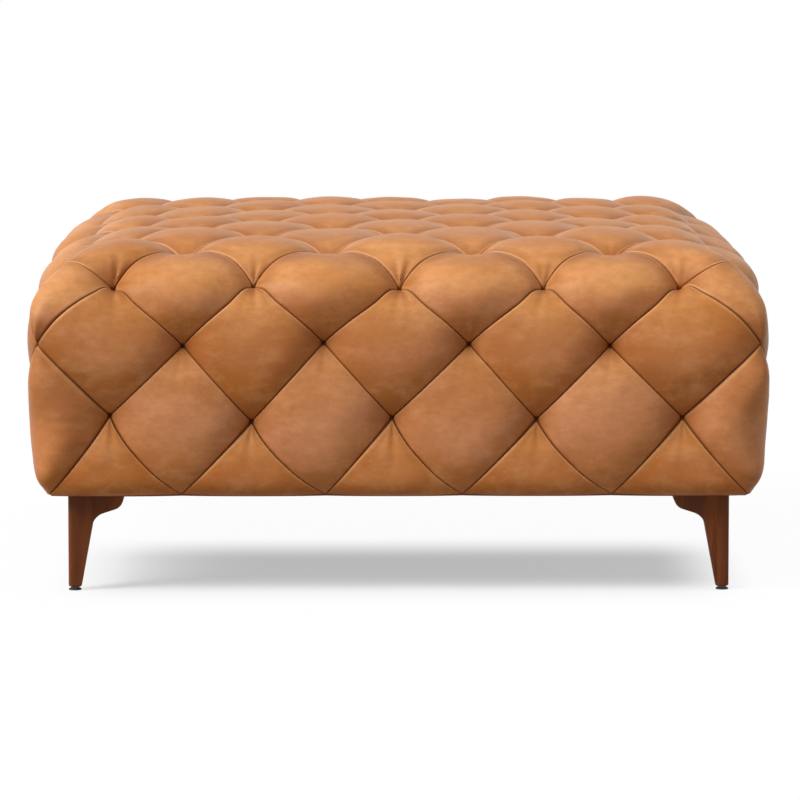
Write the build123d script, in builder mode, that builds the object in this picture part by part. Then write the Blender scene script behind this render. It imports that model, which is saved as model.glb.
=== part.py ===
from build123d import *
import os

os.makedirs("parts", exist_ok=True)

# All sizes are in millimetres. The floor is z = 0 and the centre of the table is the origin.

# Outer cover
body_side = 950.0
body_top = 463.0
hem_height = 127.0
cover_wall = 35.0
cover_top_wall = 51.0
cover_edge_radius = 75.0
hem_flange_width = 20.0
hem_flange_thickness = 2.0

# Diamond tufting
diamond_count = 5
washer_rail_gap = 5.0
top_crown_drop = 8.0
top_tuft_depth = 32.0
side_tuft_depth = 28.0
edge_tuft_inset = 43.0
edge_tuft_drop = 72.0
upper_tuft_drop = 142.0
lower_tuft_rise = 99.0
corner_tuft_inset = 10.0
hem_inset = 24.0
outer_crest_lean = 20.0
edge_crest_inset = 16.0
edge_crest_drop = 46.0
corner_crest_inset = 12.0
corner_crest_drop = 73.0
corner_seam_inset = 44.0
corner_seam_drop = 32.0
post_crest_inset = 9.0
hem_crest_inset = 9.0
hem_crest_rise = 40.0
flat_seam_share = 0.5
edge_seam_share = 0.8

# Padding
top_foam_thickness = 82.0
soft_gap = 0.3
foam_hole_radius = 8.0

# Wooden frame
base_rail_thickness = 28.0
base_rail_height = 60.0
panel_thickness = 12.0
post_side = 45.0
top_rail_thickness = 22.0
top_rail_height = 40.0
deck_thickness = 15.0
joist_thickness = 25.0
joist_place_share = 1.5

# Legs
leg_inset = 46.0
leg_top_width = 72.0
leg_shoulder_drop = 19.5
leg_waist_width = 33.5
leg_waist_drop = 32.0
leg_foot_width = 16.8
leg_shoulder_radius = 16.0
leg_waist_radius = 22.0
leg_corner_radius = 6.0
leg_edge_chamfer = 1.2

# Leg fixings
bolt_radius = 4.0
bolt_inset = 42.0
bolt_depth_in_leg = 20.0
insert_length = 25.0
insert_radius = 6.0
dowel_radius = 4.0
dowel_depth = 15.0
pin_clearance = 0.05

# Levelling feet
pad_radius = 8.2
pad_thickness = 2.0
pad_chamfer = 0.4
collar_radius = 5.75
collar_sides = 6
collar_height = 3.0
stem_radius = 3.0
stem_length = 20.0
foot_insert_radius = 4.5
foot_insert_length = 14.0
stem_hole_depth = 21.0
pivot_radius = 2.5
pivot_length = 1.2
pivot_end_gap = 0.05

# Tuft twines, washers, tacks and screws
twine_radius = 1.2
twine_hole_radius = 2.2
twine_end_gap = 1.5
washer_radius = 8.0
washer_thickness = 1.2
tack_head_radius = 4.0
tack_head_thickness = 1.0
tack_shank_radius = 1.0
tack_shank_length = 9.0
tack_edge_inset = 7.0
screw_radius = 2.0
screw_head_radius = 4.0
countersink_angle = 90.0
frame_screw_length = 55.0
frame_screw_rise = 36.0
frame_screw_step = 12.0
deck_screw_length = 38.0

# Dust cover
dust_cover_thickness = 0.8
dust_cover_overlap = 6.0

# How far a cutting shape runs past what it cuts
overrun = 5.0

# Places that follow from the sizes above
half_side = body_side / 2
outermost = diamond_count - 1
inner_side = half_side - cover_wall
inner_top = body_top - cover_top_wall
frame_bottom = hem_height + hem_flange_thickness
flange_inside = half_side - hem_inset - hem_flange_width
panel_face = inner_side - base_rail_thickness
panel_back = panel_face - panel_thickness
post_inside = panel_back - post_side
half_pitch = (panel_back - top_rail_thickness - washer_rail_gap - washer_radius) / outermost
deck_top = inner_top - top_foam_thickness
deck_bottom = deck_top - deck_thickness
base_rail_top = frame_bottom + base_rail_height
leg_face = half_side - leg_inset
leg_bottom = pad_thickness + collar_height
foot_centre = leg_face - leg_foot_width / 2
bolt_centre = leg_face - bolt_inset
post_centre = post_inside + post_side / 2
edge_tuft_side = half_side - edge_tuft_inset
edge_tuft_height = body_top - edge_tuft_drop
upper_tuft_height = body_top - upper_tuft_drop
lower_tuft_height = hem_height + lower_tuft_rise
top_steps = range(-outermost, outermost + 1)
even_steps = [step for step in top_steps if step % 2 == 0]
odd_steps = [step for step in top_steps if step % 2]
quarter_turns = range(4)
top_tufts = [(i * half_pitch, j * half_pitch) for i in top_steps for j in top_steps if (i + j) % 2]
corners = {
    "front_left": (-1, -1),
    "front_right": (1, -1),
    "rear_left": (-1, 1),
    "rear_right": (1, 1),
}
sides = {"front": 0, "right": 1, "rear": 2, "left": 3}


def save(piece, name):
    """Labels a finished piece and writes it under its own name."""
    piece.part.label = name
    export_step(piece.part, f"parts/{name}.step")


def turned(point, quarter):
    """A point of the front, carried to the side that lies so many quarter turns on."""
    return Vector(*point).rotate(Axis.Z, 90 * quarter)


def side_plane(quarter, distance):
    """The upright plane at a distance from the centre that faces a side, X along it and Y up."""
    facing = turned((0, -1, 0), quarter)
    return Plane(origin=facing * distance, x_dir=turned((1, 0, 0), quarter), z_dir=facing)


def crown_height(i, j):
    """Height of the crest surface over a lattice point of the top."""
    return body_top - top_crown_drop * max(i * i, j * j) / outermost**2


def crest_place(i):
    """Where a crest of the top lies across it: the outermost ones lean out over the edge."""
    lean = outer_crest_lean * i / outermost if abs(i) == outermost else 0
    return i * half_pitch + lean


# The quilt: every diamond is a puff between four tuft points, given here for the top and the front


def top_tuft(i, j):
    """A tuft point of the top, or of the rounded top edge where a step reaches past the top."""
    if max(abs(i), abs(j)) <= outermost:
        return Vector(i * half_pitch, j * half_pitch, crown_height(i, j) - top_tuft_depth)
    x = i * half_pitch if abs(i) <= outermost else edge_tuft_side * i / abs(i)
    y = j * half_pitch if abs(j) <= outermost else edge_tuft_side * j / abs(j)
    return Vector(x, y, edge_tuft_height)


def side_tuft(i, inset, corner_inset, height):
    """A tuft point of the front, with the one at each upright corner on the corner itself."""
    if abs(i) > outermost:
        place = half_side - corner_inset
        return Vector(place * i / abs(i), -place, height)
    return Vector(i * half_pitch, inset - half_side, height)


def upper_tuft(i):
    return side_tuft(i, side_tuft_depth, corner_tuft_inset, upper_tuft_height)


def lower_tuft(i):
    return side_tuft(i, side_tuft_depth, side_tuft_depth, lower_tuft_height)


def hem_tuft(i):
    return side_tuft(i, hem_inset, hem_inset, hem_height)


puffs = []
for i in top_steps:
    for j in top_steps:
        if (i + j) % 2 == 0:
            rim = [top_tuft(i, j - 1), top_tuft(i + 1, j), top_tuft(i, j + 1), top_tuft(i - 1, j)]
            puffs.append((rim, Vector(crest_place(i), crest_place(j), crown_height(i, j))))
for quarter in quarter_turns:
    front = []
    for i in odd_steps:
        rim = [top_tuft(i, -outermost), top_tuft(i + 1, -diamond_count), upper_tuft(i)]
        rim.append(top_tuft(i - 1, -diamond_count))
        crest = (i * half_pitch, edge_crest_inset - half_side, body_top - edge_crest_drop)
        front.append((rim, crest))
        rim = [upper_tuft(i), lower_tuft(i + 1), hem_tuft(i), lower_tuft(i - 1)]
        crest = (i * half_pitch, -half_side, (upper_tuft_height + hem_height) / 2)
        front.append((rim, crest))
    for i in even_steps:
        rim = [top_tuft(i, -diamond_count), upper_tuft(i + 1), lower_tuft(i), upper_tuft(i - 1)]
        crest = (i * half_pitch, -half_side, (edge_tuft_height + lower_tuft_height) / 2)
        front.append((rim, crest))
        rim = [lower_tuft(i), lower_tuft(i), hem_tuft(i + 1), hem_tuft(i - 1)]
        crest = (i * half_pitch, hem_crest_inset - half_side, hem_height + hem_crest_rise)
        front.append((rim, crest))
    last = diamond_count
    rim = [upper_tuft(last), upper_tuft(last)]
    rim += [top_tuft(last, -outermost), top_tuft(outermost, -last)]
    place = half_side - corner_crest_inset
    front.append((rim, (place, -place, body_top - corner_crest_drop)))
    beside = turned(lower_tuft(-outermost), 1)
    rim = [upper_tuft(last), beside, hem_tuft(last), lower_tuft(outermost)]
    place = half_side - post_crest_inset
    front.append((rim, (place, -place, (upper_tuft_height + hem_height) / 2)))
    for rim, crest in front:
        puffs.append(([turned(point, quarter) for point in rim], turned(crest, quarter)))


def seam_key(start, end):
    """The same key for a seam, whichever of its two puffs it is seen from."""
    return frozenset(tuple(round(value, 4) for value in point) for point in (start, end))


crests_beside = {}
for rim, crest in puffs:
    for place, start in enumerate(rim):
        end = rim[(place + 1) % len(rim)]
        crests_beside.setdefault(seam_key(start, end), []).append(crest)


def seam_pull(start, end):
    """The middle control point of the arc that a pleat follows between two tuft points."""
    beside = crests_beside[seam_key(start, end)]
    chord_middle = (start + end) / 2
    if start.Z == end.Z == edge_tuft_height:
        spread = (half_side - corner_seam_inset) / abs(chord_middle.X)
        middle = Vector(chord_middle.X * spread, chord_middle.Y * spread, body_top - corner_seam_drop)
        return middle * 2 - chord_middle
    crest_middle = sum(beside, Vector()) / len(beside)
    on_edge = edge_tuft_height in (start.Z, end.Z)
    middle = chord_middle + (crest_middle - chord_middle) * (
        edge_seam_share if on_edge else flat_seam_share
    )
    if len(beside) == 1:
        middle = Vector(middle.X, middle.Y, hem_height)
    return middle * 2 - chord_middle


def puff_face(rim, crest):
    """One crowned face over a diamond, bounded by its pleat arcs. Two rim points may be one.

    The face is a Bezier patch of three by three control points. Its middle lies at the sum of the
    corners, twice the four pulls and four times the centre, over sixteen, and that is the crest.
    """
    a, b, c, d = rim
    ab, bc, cd, da = (a if a == b else seam_pull(a, b)), seam_pull(b, c), seam_pull(c, d), seam_pull(d, a)
    centre = (crest * 16 - (a + b + c + d) - (ab + bc + cd + da) * 2) / 4
    return Face.make_bezier_surface([[a, ab, b], [da, centre, bc], [d, cd, c]])


def rounded_block(half_width, bottom, top, edge_radius):
    """A square block whose four top edges are rounded, with mitred corners."""
    with BuildPart() as block:
        for plane, mode in ((Plane.XZ, Mode.ADD), (Plane.YZ, Mode.INTERSECT)):
            with BuildSketch(plane.offset(-half_width - overrun)):
                with BuildLine():
                    crown = FilletPolyline(
                        (-half_width, bottom),
                        (-half_width, top),
                        (half_width, top),
                        (half_width, bottom),
                        radius=edge_radius,
                    )
                    Line(crown @ 1, crown @ 0)
                make_face()
            extrude(amount=2 * (half_width + overrun), mode=mode)
    return block.part


hem_edges = []
for quarter in quarter_turns:
    for i in even_steps:
        start, end = turned(hem_tuft(i - 1), quarter), turned(hem_tuft(i + 1), quarter)
        hem_edges.append(Edge.make_bezier(start, seam_pull(start, end), end))
quilt_faces = [puff_face(rim, crest) for rim, crest in puffs]
quilt = Solid(Shell(quilt_faces + [Face(Wire(hem_edges))]))

cover_hollow = rounded_block(inner_side, frame_bottom, inner_top, cover_edge_radius)

with BuildPart() as leather_cover:
    add(quilt)
    add(cover_hollow, mode=Mode.SUBTRACT)
    with BuildSketch(Plane.XY.offset(hem_height)):
        Rectangle(2 * flange_inside, 2 * flange_inside)
    extrude(amount=hem_flange_thickness, mode=Mode.SUBTRACT)
save(leather_cover, "leather_cover")

# Tuft fixings: the rounding of the cover's inside says where an edge twine starts

edge_centre = Vector(inner_side - cover_edge_radius, inner_top - cover_edge_radius)
edge_outward = (Vector(edge_tuft_side, edge_tuft_height) - edge_centre).normalized()
edge_twine_high = edge_centre + edge_outward * (cover_edge_radius - twine_end_gap)
edge_twine_low = Vector(panel_face - tack_edge_inset, deck_top + tack_head_thickness)
edge_twine_length = (edge_twine_high - edge_twine_low).length


def edge_twine_run(quarter):
    """The direction of the slanting twines of one side, from the deck up to the tufts."""
    lean = edge_twine_high - edge_twine_low
    return turned((0, -lean.X, lean.Y), quarter)


def edge_twine_feet(quarter):
    """Where the slanting twines of one side stand on their tacks."""
    return [turned((i * half_pitch, -edge_twine_low.X, 0), quarter) for i in even_steps]


side_tufts = [(i * half_pitch, upper_tuft_height) for i in odd_steps]
side_tufts += [(i * half_pitch, lower_tuft_height) for i in even_steps]

with BuildPart() as top_tuft_twines:
    with BuildSketch(Plane.XY.offset(deck_bottom)):
        with Locations(*top_tufts):
            Circle(twine_radius)
    extrude(amount=inner_top - soft_gap - deck_bottom)
save(top_tuft_twines, "top_tuft_twines")

with BuildPart() as top_tuft_washers:
    with BuildSketch(Plane.XY.offset(deck_bottom)):
        with Locations(*top_tufts):
            Circle(washer_radius)
    extrude(amount=-washer_thickness)
save(top_tuft_washers, "top_tuft_washers")

with BuildPart() as edge_tuft_twines:
    for quarter in quarter_turns:
        with BuildSketch(Plane.XY.offset(edge_twine_low.Y)):
            with Locations(*edge_twine_feet(quarter)):
                Circle(twine_radius)
        extrude(amount=edge_twine_length, dir=edge_twine_run(quarter))
save(edge_tuft_twines, "edge_tuft_twines")

with BuildPart() as side_tuft_twines:
    for quarter in quarter_turns:
        with BuildSketch(side_plane(quarter, panel_face + tack_head_thickness)):
            with Locations(*side_tufts):
                Circle(twine_radius)
        extrude(amount=base_rail_thickness - tack_head_thickness)
save(side_tuft_twines, "side_tuft_twines")

with BuildPart() as tuft_tacks:
    for quarter in quarter_turns:
        with BuildSketch(side_plane(quarter, panel_face)):
            with Locations(*side_tufts):
                Circle(tack_head_radius)
        extrude(amount=tack_head_thickness)
        with BuildSketch(side_plane(quarter, panel_face)):
            with Locations(*side_tufts):
                Circle(tack_shank_radius)
        extrude(amount=-tack_shank_length)
        with BuildSketch(Plane.XY.offset(deck_top)):
            with Locations(*edge_twine_feet(quarter)):
                Circle(tack_head_radius)
        extrude(amount=tack_head_thickness)
        with BuildSketch(Plane.XY.offset(deck_top)):
            with Locations(*edge_twine_feet(quarter)):
                Circle(tack_shank_radius)
        extrude(amount=-tack_shank_length)
save(tuft_tacks, "tuft_tacks")

# Padding: the top pad lies on the deck and over the side pads, which stand on the base rails

foam_radius = cover_edge_radius - soft_gap
foam_block = rounded_block(inner_side - soft_gap, deck_top, inner_top - soft_gap, foam_radius)

with BuildPart() as top_foam_pad:
    add(foam_block)
    with BuildSketch(Plane.XY.offset(deck_top)):
        with Locations(*top_tufts):
            Circle(foam_hole_radius)
    extrude(amount=top_foam_thickness, mode=Mode.SUBTRACT)
    for quarter in quarter_turns:
        with BuildSketch(Plane.XY.offset(deck_top)):
            with Locations(*edge_twine_feet(quarter)):
                Circle(foam_hole_radius)
        run = edge_twine_run(quarter)
        extrude(amount=2 * edge_twine_length, dir=run, mode=Mode.SUBTRACT)
save(top_foam_pad, "top_foam_pad")

for name, quarter in sides.items():
    pad_half_length = inner_side - soft_gap if quarter % 2 == 0 else panel_face - soft_gap
    with BuildPart() as side_pad:
        with BuildSketch(side_plane(quarter, panel_face)):
            with Locations((0, (base_rail_top + deck_top) / 2)):
                Rectangle(2 * pad_half_length, deck_top - base_rail_top)
            with Locations(*side_tufts):
                Circle(foam_hole_radius, mode=Mode.SUBTRACT)
        extrude(amount=base_rail_thickness - soft_gap)
    save(side_pad, f"{name}_foam_pad")

# Frame: boards and rails in one square box

deck_screw_line = panel_back - top_rail_thickness / 2
with BuildPart() as deck_board:
    with BuildSketch(Plane.XY.offset(deck_bottom)):
        Rectangle(2 * panel_face, 2 * panel_face)
        with Locations(*top_tufts):
            Circle(twine_hole_radius, mode=Mode.SUBTRACT)
    extrude(amount=deck_thickness)
    for quarter in quarter_turns:
        with BuildSketch(Plane.XY.offset(deck_top)):
            with Locations(*edge_twine_feet(quarter)):
                Circle(tack_shank_radius + pin_clearance)
        extrude(amount=-tack_shank_length, mode=Mode.SUBTRACT)
        with BuildSketch(side_plane(quarter, panel_face)):
            with Locations(*[(i * half_pitch, upper_tuft_height) for i in odd_steps]):
                Circle(tack_shank_radius + pin_clearance)
        extrude(amount=-tack_shank_length, mode=Mode.SUBTRACT)
        feet = [turned((i * half_pitch, -deck_screw_line, 0), quarter) for i in odd_steps]
        with Locations(*[Pos(foot.X, foot.Y, deck_top) for foot in feet]):
            CounterSinkHole(
                screw_radius + pin_clearance,
                screw_head_radius + pin_clearance,
                deck_thickness,
                countersink_angle,
            )
save(deck_board, "deck_board")

for name, quarter in sides.items():
    runs_full = quarter % 2 == 0
    rail_half_length = inner_side if runs_full else panel_face
    screw_height = frame_bottom + frame_screw_rise + (0 if runs_full else frame_screw_step)
    with BuildPart() as base_rail:
        with BuildSketch(side_plane(quarter, inner_side)):
            with Locations((0, frame_bottom + base_rail_height / 2)):
                Rectangle(2 * rail_half_length, base_rail_height)
        extrude(amount=-base_rail_thickness)
        plane = side_plane(quarter, inner_side)
        with Locations(plane):
            with Locations((-post_centre, screw_height), (post_centre, screw_height)):
                CounterSinkHole(
                    screw_radius + pin_clearance,
                    screw_head_radius + pin_clearance,
                    base_rail_thickness,
                    countersink_angle,
                )
        if runs_full:
            dowel_y = -foot_centre if quarter == 0 else foot_centre
            with BuildSketch(Plane.XY.offset(frame_bottom)):
                with Locations((-bolt_centre, dowel_y), (bolt_centre, dowel_y)):
                    Circle(dowel_radius + pin_clearance)
            extrude(amount=dowel_depth, mode=Mode.SUBTRACT)
    save(base_rail, f"{name}_base_rail")

    panel_half_length = panel_face if runs_full else panel_back
    with BuildPart() as side_panel:
        with BuildSketch(side_plane(quarter, panel_face)):
            with Locations((0, (frame_bottom + deck_bottom) / 2)):
                Rectangle(2 * panel_half_length, deck_bottom - frame_bottom)
            with Locations((-post_centre, screw_height), (post_centre, screw_height)):
                Circle(screw_radius + pin_clearance, mode=Mode.SUBTRACT)
        extrude(amount=-panel_thickness)
        with BuildSketch(side_plane(quarter, panel_face)):
            with Locations(*[(i * half_pitch, lower_tuft_height) for i in even_steps]):
                Circle(tack_shank_radius + pin_clearance)
        extrude(amount=-tack_shank_length, mode=Mode.SUBTRACT)
    save(side_panel, f"{name}_panel")

    with BuildPart() as top_rail:
        with BuildSketch(side_plane(quarter, panel_back)):
            with Locations((0, deck_bottom - top_rail_height / 2)):
                Rectangle(2 * post_inside, top_rail_height)
        extrude(amount=-top_rail_thickness)
        feet = [turned((i * half_pitch, -deck_screw_line, 0), quarter) for i in odd_steps]
        with BuildSketch(Plane.XY.offset(deck_bottom)):
            with Locations(*feet):
                Circle(screw_radius + pin_clearance)
        extrude(amount=deck_thickness - deck_screw_length, mode=Mode.SUBTRACT)
    save(top_rail, f"{name}_top_rail")

joist_half_length = panel_back - top_rail_thickness
for name, direction in (("front", -1), ("rear", 1)):
    with BuildPart() as joist:
        with BuildSketch(Plane.XY.offset(deck_bottom)):
            with Locations((0, direction * joist_place_share * half_pitch)):
                Rectangle(2 * joist_half_length, joist_thickness)
        extrude(amount=-top_rail_height)
    save(joist, f"{name}_joist")

for name, (x_sign, y_sign) in corners.items():
    bolt_place = (x_sign * bolt_centre, y_sign * bolt_centre)
    across_plane = Plane(
        origin=(x_sign * post_centre, y_sign * panel_back, frame_bottom + frame_screw_rise),
        x_dir=(1, 0, 0),
        z_dir=(0, y_sign, 0),
    )
    along_height = frame_bottom + frame_screw_rise + frame_screw_step
    along_plane = Plane(
        origin=(x_sign * panel_back, y_sign * post_centre, along_height),
        x_dir=(0, 1, 0),
        z_dir=(x_sign, 0, 0),
    )
    with BuildPart() as corner_post:
        with BuildSketch(Plane.XY.offset(frame_bottom)):
            with Locations((x_sign * post_centre, y_sign * post_centre)):
                Rectangle(post_side, post_side)
        extrude(amount=deck_bottom - frame_bottom)
        with BuildSketch(Plane.XY.offset(frame_bottom)):
            with Locations(bolt_place):
                Circle(insert_radius + pin_clearance)
        extrude(amount=insert_length, mode=Mode.SUBTRACT)
        for plane in (across_plane, along_plane):
            with BuildSketch(plane):
                Circle(screw_radius + pin_clearance)
            extrude(
                amount=base_rail_thickness + panel_thickness - frame_screw_length,
                mode=Mode.SUBTRACT,
            )
    save(corner_post, f"{name}_post")

# Screws

with BuildPart() as frame_screws:
    for quarter in quarter_turns:
        height = frame_bottom + frame_screw_rise + (0 if quarter % 2 == 0 else frame_screw_step)
        for x in (-post_centre, post_centre):
            with BuildSketch(side_plane(quarter, inner_side)):
                with Locations((x, height)):
                    Circle(screw_radius)
            extrude(amount=-frame_screw_length)
            plane = side_plane(quarter, inner_side)
            with Locations(plane):
                with Locations((x, height, -(screw_head_radius - screw_radius) / 2)):
                    Cone(screw_radius, screw_head_radius, screw_head_radius - screw_radius)
save(frame_screws, "frame_screws")

with BuildPart() as deck_screws:
    for quarter in quarter_turns:
        feet = [turned((i * half_pitch, -deck_screw_line, 0), quarter) for i in odd_steps]
        with BuildSketch(Plane.XY.offset(deck_top)):
            with Locations(*feet):
                Circle(screw_radius)
        extrude(amount=-deck_screw_length)
        cone_middle = deck_top - (screw_head_radius - screw_radius) / 2
        with Locations(*[Pos(foot.X, foot.Y, cone_middle) for foot in feet]):
            Cone(screw_radius, screw_head_radius, screw_head_radius - screw_radius)
save(deck_screws, "deck_screws")

# Legs: the same bracket profile shows on both faces, so a leg is where two such boards cross


def leg_board(x_sign, y_sign, across):
    """The bracket profile drawn on one face of a leg and carried through its whole width."""
    x_dir = (x_sign, 0, 0) if across else (0, y_sign, 0)
    z_dir = Vector(*x_dir).cross(Vector(0, 0, 1))
    plane = Plane(origin=(0, 0, 0), x_dir=x_dir, z_dir=z_dir)
    shoulder = (leg_face - leg_top_width, frame_bottom - leg_shoulder_drop)
    waist = (leg_face - leg_waist_width, frame_bottom - leg_waist_drop)
    with BuildPart() as board:
        with BuildSketch(plane):
            with BuildLine():
                inner = FilletPolyline(
                    (leg_face - leg_top_width, frame_bottom),
                    shoulder,
                    waist,
                    (leg_face - leg_foot_width, leg_bottom),
                    radius=[leg_shoulder_radius, leg_waist_radius],
                )
                Polyline(inner @ 1, (leg_face, leg_bottom), (leg_face, frame_bottom), inner @ 0)
            make_face()
        extrude(amount=half_side, both=True)
    return board.part


for name, (x_sign, y_sign) in corners.items():
    foot_place = (x_sign * foot_centre, y_sign * foot_centre)
    across_board, along_board = leg_board(x_sign, y_sign, True), leg_board(x_sign, y_sign, False)
    with BuildPart() as leg:
        add(across_board)
        add(along_board, mode=Mode.INTERSECT)
        outer_edge = leg.edges().filter_by(Axis.Z).sort_by(
            lambda edge: x_sign * edge.center().X + y_sign * edge.center().Y
        )[-1]
        fillet(outer_edge, radius=leg_corner_radius)
        chamfer(leg.faces().sort_by(Axis.Z)[0].edges(), length=leg_edge_chamfer)
        with BuildSketch(Plane.XY.offset(leg_bottom)):
            with Locations(foot_place):
                Circle(foot_insert_radius + pin_clearance)
        extrude(amount=foot_insert_length, mode=Mode.SUBTRACT)
        with BuildSketch(Plane.XY.offset(leg_bottom)):
            with Locations(foot_place):
                Circle(stem_radius + pin_clearance)
        extrude(amount=stem_hole_depth, mode=Mode.SUBTRACT)
        with BuildSketch(Plane.XY.offset(frame_bottom)):
            with Locations((x_sign * bolt_centre, y_sign * bolt_centre)):
                Circle(bolt_radius + pin_clearance)
        extrude(amount=-bolt_depth_in_leg, mode=Mode.SUBTRACT)
        with BuildSketch(Plane.XY.offset(frame_bottom)):
            with Locations((x_sign * bolt_centre, y_sign * foot_centre)):
                Circle(dowel_radius + pin_clearance)
        extrude(amount=-dowel_depth, mode=Mode.SUBTRACT)
    save(leg, f"{name}_leg")

    with BuildPart() as leveller_stem:
        with BuildSketch(Plane.XY.offset(pad_thickness)):
            with Locations(foot_place):
                RegularPolygon(collar_radius, collar_sides)
        extrude(amount=collar_height)
        with BuildSketch(Plane.XY.offset(leg_bottom)):
            with Locations(foot_place):
                Circle(stem_radius)
        extrude(amount=stem_length)
        with BuildSketch(Plane.XY.offset(pad_thickness)):
            with Locations(foot_place):
                Circle(pivot_radius)
        extrude(amount=-pivot_length)
    save(leveller_stem, f"{name}_leveller_stem")

    with BuildPart() as leveller_pad:
        with BuildSketch(Plane.XY):
            with Locations(foot_place):
                Circle(pad_radius)
        extrude(amount=pad_thickness)
        chamfer(leveller_pad.edges().group_by(Axis.Z)[-1], length=pad_chamfer)
        with BuildSketch(Plane.XY.offset(pad_thickness)):
            with Locations(foot_place):
                Circle(pivot_radius + pin_clearance)
        extrude(amount=-(pivot_length + pivot_end_gap), mode=Mode.SUBTRACT)
    save(leveller_pad, f"{name}_leveller_pad")

bolt_places = [(x_sign * bolt_centre, y_sign * bolt_centre) for x_sign, y_sign in corners.values()]
foot_places = [(x_sign * foot_centre, y_sign * foot_centre) for x_sign, y_sign in corners.values()]
dowel_places = [(x_sign * bolt_centre, y_sign * foot_centre) for x_sign, y_sign in corners.values()]

with BuildPart() as leveller_inserts:
    with BuildSketch(Plane.XY.offset(leg_bottom)):
        with Locations(*foot_places):
            Circle(foot_insert_radius)
            Circle(stem_radius + pin_clearance, mode=Mode.SUBTRACT)
    extrude(amount=foot_insert_length)
save(leveller_inserts, "leveller_inserts")

with BuildPart() as leg_bolts:
    with BuildSketch(Plane.XY.offset(frame_bottom - bolt_depth_in_leg)):
        with Locations(*bolt_places):
            Circle(bolt_radius)
    extrude(amount=bolt_depth_in_leg + insert_length)
save(leg_bolts, "leg_bolts")

with BuildPart() as post_inserts:
    with BuildSketch(Plane.XY.offset(frame_bottom)):
        with Locations(*bolt_places):
            Circle(insert_radius)
            Circle(bolt_radius + pin_clearance, mode=Mode.SUBTRACT)
    extrude(amount=insert_length)
save(post_inserts, "post_inserts")

with BuildPart() as leg_dowels:
    with BuildSketch(Plane.XY.offset(frame_bottom - dowel_depth)):
        with Locations(*dowel_places):
            Circle(dowel_radius)
    extrude(amount=2 * dowel_depth)
save(leg_dowels, "leg_dowels")

# Dust cover: a cloth under the frame, notched round the legs

with BuildPart() as dust_cover:
    with BuildSketch(Plane.XY.offset(frame_bottom)):
        Rectangle(2 * (panel_face + dust_cover_overlap), 2 * (panel_face + dust_cover_overlap))
        notch_place = leg_face - leg_top_width / 2
        with Locations(*[(x * notch_place, y * notch_place) for x, y in corners.values()]):
            Rectangle(leg_top_width + 2 * soft_gap, leg_top_width + 2 * soft_gap, mode=Mode.SUBTRACT)
    extrude(amount=-dust_cover_thickness)
save(dust_cover, "dust_cover")
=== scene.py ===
# %% [markdown]
# # A diamond tufted leather ottoman
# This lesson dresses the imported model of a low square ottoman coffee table. The real one is a wooden
# box with foam on it, and one big quilted leather skin is pulled down over the foam by twines. Every
# place where a twine pulls is a tuft, and between the tufts the leather folds into straight pleats.
# The frame, the legs and the fixings come from the CAD model and keep their shapes. The soft pieces,
# which are the leather, the foam and the cloth underneath, are made here.

# %% Load the frame
import bpy
import math
import numpy as np
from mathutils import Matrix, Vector, noise
from mathutils.kdtree import KDTree


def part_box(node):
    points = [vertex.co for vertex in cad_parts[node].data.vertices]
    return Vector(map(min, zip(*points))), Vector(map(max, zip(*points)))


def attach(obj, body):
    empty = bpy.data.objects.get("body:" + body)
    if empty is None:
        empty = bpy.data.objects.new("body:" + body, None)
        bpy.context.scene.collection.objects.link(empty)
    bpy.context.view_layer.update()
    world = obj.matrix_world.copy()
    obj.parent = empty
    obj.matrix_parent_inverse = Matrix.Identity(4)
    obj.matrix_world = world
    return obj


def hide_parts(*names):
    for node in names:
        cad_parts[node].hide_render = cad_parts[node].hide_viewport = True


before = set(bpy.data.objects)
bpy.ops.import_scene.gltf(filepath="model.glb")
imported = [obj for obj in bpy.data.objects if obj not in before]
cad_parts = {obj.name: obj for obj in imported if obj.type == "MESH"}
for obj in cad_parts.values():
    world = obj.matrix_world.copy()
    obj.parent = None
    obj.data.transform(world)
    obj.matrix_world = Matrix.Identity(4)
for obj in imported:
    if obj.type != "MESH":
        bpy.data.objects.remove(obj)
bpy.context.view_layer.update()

# %% [markdown]
# ## The camera
# The photograph was taken from far away with a long lens, a little above the table and looking
# slightly down at it. The tuft rows at the front and the back give the distance, and the height at
# which they would meet gives the tilt. It stood a few centimetres to the left and looked slightly back
# to the right, because the rear tufts lie a little left of the front ones. The camera has no shift, so
# that other views stay centred.

# %% Camera
LOOKS_DOWN = 6.424
LOOKS_RIGHT = 0.47
tilt, turned = math.radians(90 - LOOKS_DOWN), math.radians(-LOOKS_RIGHT)
bpy.ops.object.camera_add(location=(-0.055, -7.325, 1.025), rotation=(tilt, 0, turned))
camera = bpy.context.object
camera.name = "studio_camera"
camera.data.sensor_width = 36
camera.data.lens = 241.3
camera.data.clip_end = 100
bpy.context.scene.camera = camera
print("camera", round(camera.location.length, 2), "m from the middle of the floor")

# %% [markdown]
# ## The tuft pattern
# Everything on the cover hangs on one lattice. On the top the tufts stand on every other point of a
# square grid, so the pleats between them make diamonds. The same columns run down the sides: row A on
# the rounded edge, row B below it, row C, and row D where the pleats end at the hem. Each side row has
# its distance from the middle, that of its corner tufts, its height, and how much higher the corner
# tufts sit. The top sinks a little towards its edges, and its outermost tufts are pulled deepest.

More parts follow.
